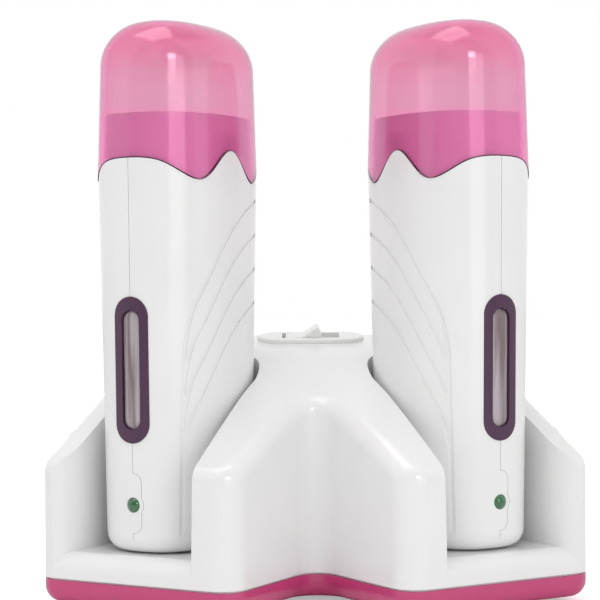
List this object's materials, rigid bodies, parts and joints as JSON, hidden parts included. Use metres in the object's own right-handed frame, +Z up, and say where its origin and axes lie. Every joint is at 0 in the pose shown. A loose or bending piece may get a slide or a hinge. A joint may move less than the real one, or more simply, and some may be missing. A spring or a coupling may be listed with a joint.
{
  "type": "double wax warmer",
  "caption": "Twin roll-on wax warmer: upright oval warmers with clear push-on caps stand in a splayed base with a rocker switch and a mains inlet.",
  "frame": {"origin": "centre of the footprint, on the surface the rubber feet rest on", "axes": "+Z up; the front with both windows faces -Y; X = 0 is the plane between the two warmers, +X is the viewer's right"},
  "size_m": [0.1912, 0.116, 0.206],
  "materials": {
    "white_plastic": "moulded white plastic, satin gloss",
    "pink_plastic": "moulded pink plastic, satin gloss",
    "clear_pink_plastic": "clear pink plastic, polished",
    "plum_plastic": "dark plum plastic, satin gloss",
    "clear_plastic": "clear plastic, polished",
    "green_lens": "green tinted clear plastic",
    "lamp_resin": "clear resin",
    "circuit_board": "green board laminate",
    "well_aluminium": "drawn sheet, plain",
    "heater_silicone": "silicone rubber, matte",
    "black_plastic": "black insulating plastic, matte",
    "pale_grey_plastic": "moulded pale grey plastic, satin gloss",
    "contact_brass": "stamped and turned brass, plain",
    "screw_steel": "zinc plated steel",
    "foot_rubber": "soft rubber, matte"
  },
  "bodies": {
    "base": {"base_upper_shell": "white_plastic", "base_lower_tray": "pink_plastic", "rubber_feet": "foot_rubber", "base_screws": "screw_steel", "switch_panel": "pale_grey_plastic", "switch_body": "pale_grey_plastic", "switch_blades": "contact_brass", "mains_inlet": "black_plastic", "inlet_pins": "contact_brass", "left_dock_plug": "black_plastic", "left_dock_pins": "contact_brass", "right_dock_plug": "black_plastic", "right_dock_pins": "contact_brass"},
    "left_warmer": {"left_tongue_half": "white_plastic", "left_plain_half": "white_plastic", "left_housing_screw": "screw_steel", "left_window_frame": "plum_plastic", "left_window_pane": "clear_plastic", "left_indicator_lens": "green_lens", "left_indicator_lamp": "lamp_resin", "left_indicator_board": "circuit_board", "left_heating_well": "well_aluminium", "left_heater_pads": "heater_silicone", "left_thermostat": "black_plastic", "left_socket_block": "black_plastic", "left_socket_sleeves": "contact_brass"},
    "left_cap_body": {"left_cap": "clear_pink_plastic"},
    "right_warmer": {"right_tongue_half": "white_plastic", "right_plain_half": "white_plastic", "right_housing_screw": "screw_steel", "right_window_frame": "plum_plastic", "right_window_pane": "clear_plastic", "right_indicator_lens": "green_lens", "right_indicator_lamp": "lamp_resin", "right_indicator_board": "circuit_board", "right_heating_well": "well_aluminium", "right_heater_pads": "heater_silicone", "right_thermostat": "black_plastic", "right_socket_block": "black_plastic", "right_socket_sleeves": "contact_brass"},
    "right_cap_body": {"right_cap": "clear_pink_plastic"},
    "rocker": {"switch_rocker": "pale_grey_plastic"}
  },
  "joints": [
    {"name": "left_warmer_lift", "type": "slide", "parent": "base", "child": "left_warmer", "axis": [0, 0, 1], "range_m": [0, 0.09]},
    {"name": "left_cap_pull", "type": "slide", "parent": "left_warmer", "child": "left_cap_body", "axis": [0, 0, 1], "range_m": [0, 0.03]},
    {"name": "right_warmer_lift", "type": "slide", "parent": "base", "child": "right_warmer", "axis": [0, 0, 1], "range_m": [0, 0.09]},
    {"name": "right_cap_pull", "type": "slide", "parent": "right_warmer", "child": "right_cap_body", "axis": [0, 0, 1], "range_m": [0, 0.03]},
    {"name": "switch_rock", "type": "hinge", "parent": "base", "child": "rocker", "pos_m": [0, 0.04197, 0.08862], "axis": [0, 0.9877, 0.1564], "range_deg": [-34, 0]}
  ]
}
